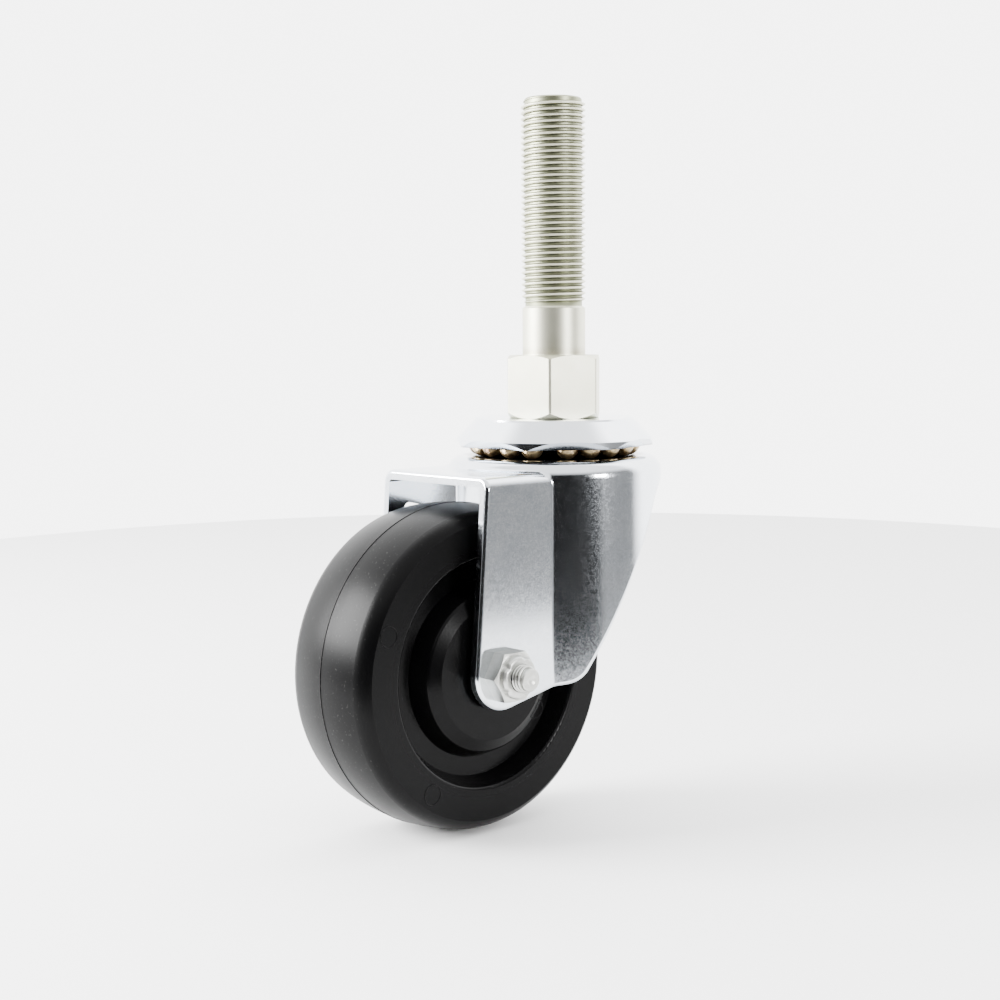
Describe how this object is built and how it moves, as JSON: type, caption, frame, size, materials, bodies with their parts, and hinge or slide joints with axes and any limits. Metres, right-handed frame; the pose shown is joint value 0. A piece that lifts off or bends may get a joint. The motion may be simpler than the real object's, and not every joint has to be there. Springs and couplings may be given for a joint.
{
  "type": "levelling castor",
  "caption": "Swivel castor with a black rubber wheel in a pressed zinc-plated fork, on a threaded levelling stem with a hexagon.",
  "frame": {"origin": "on the swivel axis, at the upper face of the stem's hexagon, where the leg's end or the lock nut seats", "axes": "+Z along the stem away from the wheel, -X towards the trailing wheel at rest, Y along the axle, with the nut on the -Y side"},
  "size_m": [0.0981, 0.0537, 0.1716],
  "materials": {
    "stem_zinc": "zinc plated, yellowish white, satin",
    "race_zinc": "bright bluish zinc plate",
    "fork_zinc": "bright bluish zinc plate on pressed sheet",
    "fastener_zinc": "zinc plated",
    "ball_steel": "bearing steel under grease with rust stains",
    "wheel_rubber": "moulded hard black rubber, satin"
  },
  "bodies": {
    "stem_unit": {"stem": "stem_zinc", "race_cap": "race_zinc", "lower_race": "race_zinc"},
    "upper_ball_row": {"upper_ball_01": "ball_steel", "upper_ball_02": "ball_steel", "upper_ball_03": "ball_steel", "upper_ball_04": "ball_steel", "upper_ball_05": "ball_steel", "upper_ball_06": "ball_steel", "upper_ball_07": "ball_steel", "upper_ball_08": "ball_steel", "upper_ball_09": "ball_steel", "upper_ball_10": "ball_steel", "upper_ball_11": "ball_steel", "upper_ball_12": "ball_steel", "upper_ball_13": "ball_steel", "upper_ball_14": "ball_steel", "upper_ball_15": "ball_steel", "upper_ball_16": "ball_steel", "upper_ball_17": "ball_steel", "upper_ball_18": "ball_steel", "upper_ball_19": "ball_steel", "upper_ball_20": "ball_steel"},
    "lower_ball_row": {"lower_ball_01": "ball_steel", "lower_ball_02": "ball_steel", "lower_ball_03": "ball_steel", "lower_ball_04": "ball_steel", "lower_ball_05": "ball_steel", "lower_ball_06": "ball_steel", "lower_ball_07": "ball_steel", "lower_ball_08": "ball_steel", "lower_ball_09": "ball_steel", "lower_ball_10": "ball_steel", "lower_ball_11": "ball_steel", "lower_ball_12": "ball_steel", "lower_ball_13": "ball_steel", "lower_ball_14": "ball_steel"},
    "fork_unit": {"fork": "fork_zinc", "axle_sleeve": "fastener_zinc", "axle_bolt": "fastener_zinc", "axle_nut": "fastener_zinc"},
    "wheel_unit": {"wheel": "wheel_rubber"}
  },
  "joints": [
    {"name": "swivel", "type": "hinge", "parent": "stem_unit", "child": "fork_unit", "pos_m": [0, 0, -0.022], "axis": [0, 0, 1], "continuous": true},
    {"name": "wheel_spin", "type": "hinge", "parent": "fork_unit", "child": "wheel_unit", "pos_m": [-0.03375, 0, -0.07189], "axis": [0, 1, 0], "continuous": true},
    {"name": "upper_balls_roll", "type": "hinge", "parent": "stem_unit", "child": "upper_ball_row", "pos_m": [0, 0, -0.0215], "axis": [0, 0, 1], "continuous": true},
    {"name": "lower_balls_roll", "type": "hinge", "parent": "stem_unit", "child": "lower_ball_row", "pos_m": [0, 0, -0.02397], "axis": [0, 0, 1], "continuous": true}
  ],
  "couplings": [
    {"joint": "upper_balls_roll", "follows": "swivel", "ratio": 0.5},
    {"joint": "lower_balls_roll", "follows": "swivel", "ratio": 0.5}
  ]
}
